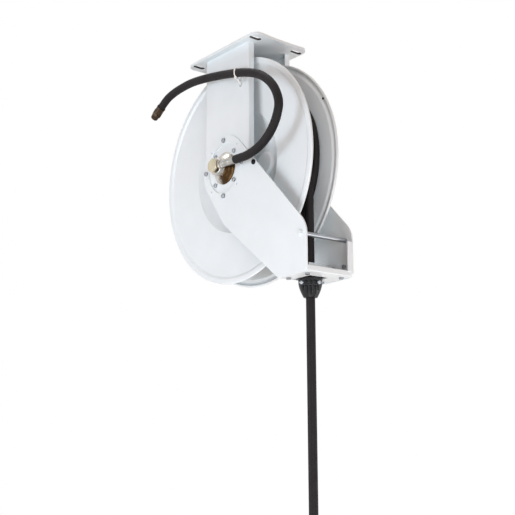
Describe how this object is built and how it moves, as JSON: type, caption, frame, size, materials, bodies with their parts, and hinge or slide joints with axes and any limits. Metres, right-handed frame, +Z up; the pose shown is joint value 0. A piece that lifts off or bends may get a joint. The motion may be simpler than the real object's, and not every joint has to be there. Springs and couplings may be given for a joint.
{
  "type": "spring-rewind hose reel",
  "caption": "Ceiling-mounted spring-rewind hose reel: flanged drum between two columns, guide arms with a roller outlet, side swivel with an inlet hose, and a stopper on the hanging hose.",
  "frame": {"origin": "centre of the ceiling plate's top face, where the reel hangs from the ceiling", "axes": "+X along the axle from the swivel side to the spring side, -Y towards the hose outlet, +Z up"},
  "size_m": [0.19, 0.5636, 1.1691],
  "materials": {
    "white_paint": "semi-gloss powder coat",
    "zinc_bolts": "zinc plated",
    "bright_steel": "turned, bright",
    "zinc_sheet": "galvanised sheet",
    "brass": "machined",
    "hose_rubber": "smooth matte rubber",
    "black_plastic": "moulded, fine grain",
    "spring_steel": "oiled spring steel",
    "black_steel": "black oxide",
    "tie_plastic": "nylon"
  },
  "bodies": {
    "frame": {"ceiling_plate": "white_paint", "swivel_column": "white_paint", "spring_column": "white_paint", "swivel_guide_arm": "white_paint", "spring_guide_arm": "white_paint", "arm_stop_bolt": "black_steel", "swivel_arm_bolts": "zinc_bolts", "spring_arm_bolts": "zinc_bolts", "bearing_housing": "white_paint", "housing_bolts": "zinc_bolts", "spindle_bearing": "bright_steel", "swivel_body": "brass", "swivel_cap": "brass", "swivel_seals": "hose_rubber", "inlet_ferrule": "bright_steel", "inlet_hose": "hose_rubber", "inlet_end_fitting": "brass", "hose_tie": "tie_plastic", "arbor_flange": "white_paint", "arbor_bolts": "zinc_bolts", "spring_arbor": "bright_steel", "outlet_tray": "white_paint", "tray_screws": "zinc_bolts", "roller_frame": "zinc_sheet", "roller_frame_bolts": "zinc_bolts", "roller_pins": "bright_steel", "tie_rod": "bright_steel", "tie_rod_bolts": "zinc_bolts", "pawl_pin": "bright_steel", "pawl_spring": "spring_steel"},
    "drum": {"swivel_side_flange": "white_paint", "spring_side_flange": "white_paint", "drum_core": "white_paint", "spindle": "bright_steel", "spindle_bolts": "zinc_bolts", "outlet_pipe": "bright_steel", "spring_case": "zinc_sheet", "spring_case_cover": "zinc_sheet", "cover_screws": "zinc_bolts", "power_spring": "spring_steel", "arbor_bearing": "bright_steel", "ratchet_wheel": "bright_steel", "rim_screws": "black_steel", "hose_core": "hose_rubber", "hose_winding": "hose_rubber"},
    "front_roller": {"front_roller": "black_plastic"},
    "rear_roller": {"rear_roller": "black_plastic"},
    "left_roller": {"left_roller": "black_plastic"},
    "right_roller": {"right_roller": "black_plastic"},
    "pawl": {"ratchet_pawl": "bright_steel"},
    "hose_end": {"hose_run": "hose_rubber", "stopper_front": "black_plastic", "stopper_rear": "black_plastic", "stopper_bolts": "zinc_bolts", "hose_tail": "hose_rubber", "hose_end_ferrule": "bright_steel", "hose_end_fitting": "brass"}
  },
  "joints": [
    {"name": "drum_spin", "type": "hinge", "parent": "frame", "child": "drum", "pos_m": [0, 0, -0.298], "axis": [1, 0, 0], "range_deg": [0, 720], "stiffness_Nm_per_rad": 0.6, "springref_deg": -572.96},
    {"name": "hose_pull", "type": "slide", "parent": "frame", "child": "hose_end", "axis": [0, 0, -1], "range_m": [0, 2.7648], "deforming": ["hose_run"]},
    {"name": "front_roller_spin", "type": "hinge", "parent": "frame", "child": "front_roller", "pos_m": [0, -0.23548, -0.57518], "axis": [1, 0, 0], "continuous": true},
    {"name": "rear_roller_spin", "type": "hinge", "parent": "frame", "child": "rear_roller", "pos_m": [0, -0.20353, -0.57685], "axis": [1, 0, 0], "continuous": true},
    {"name": "left_roller_spin", "type": "hinge", "parent": "frame", "child": "left_roller", "pos_m": [-0.016, -0.21893, -0.56503], "axis": [0, 0.9986, -0.0523], "continuous": true},
    {"name": "right_roller_spin", "type": "hinge", "parent": "frame", "child": "right_roller", "pos_m": [0.016, -0.21893, -0.56503], "axis": [0, 0.9986, -0.0523], "continuous": true},
    {"name": "pawl_swing", "type": "hinge", "parent": "frame", "child": "pawl", "pos_m": [0.0425, 0.06, -0.214], "axis": [1, 0, 0], "range_deg": [0, 33], "stiffness_Nm_per_rad": 0.4}
  ],
  "couplings": [
    {"joint": "hose_pull", "follows": "drum_spin", "m_per_rad": 0.22}
  ]
}
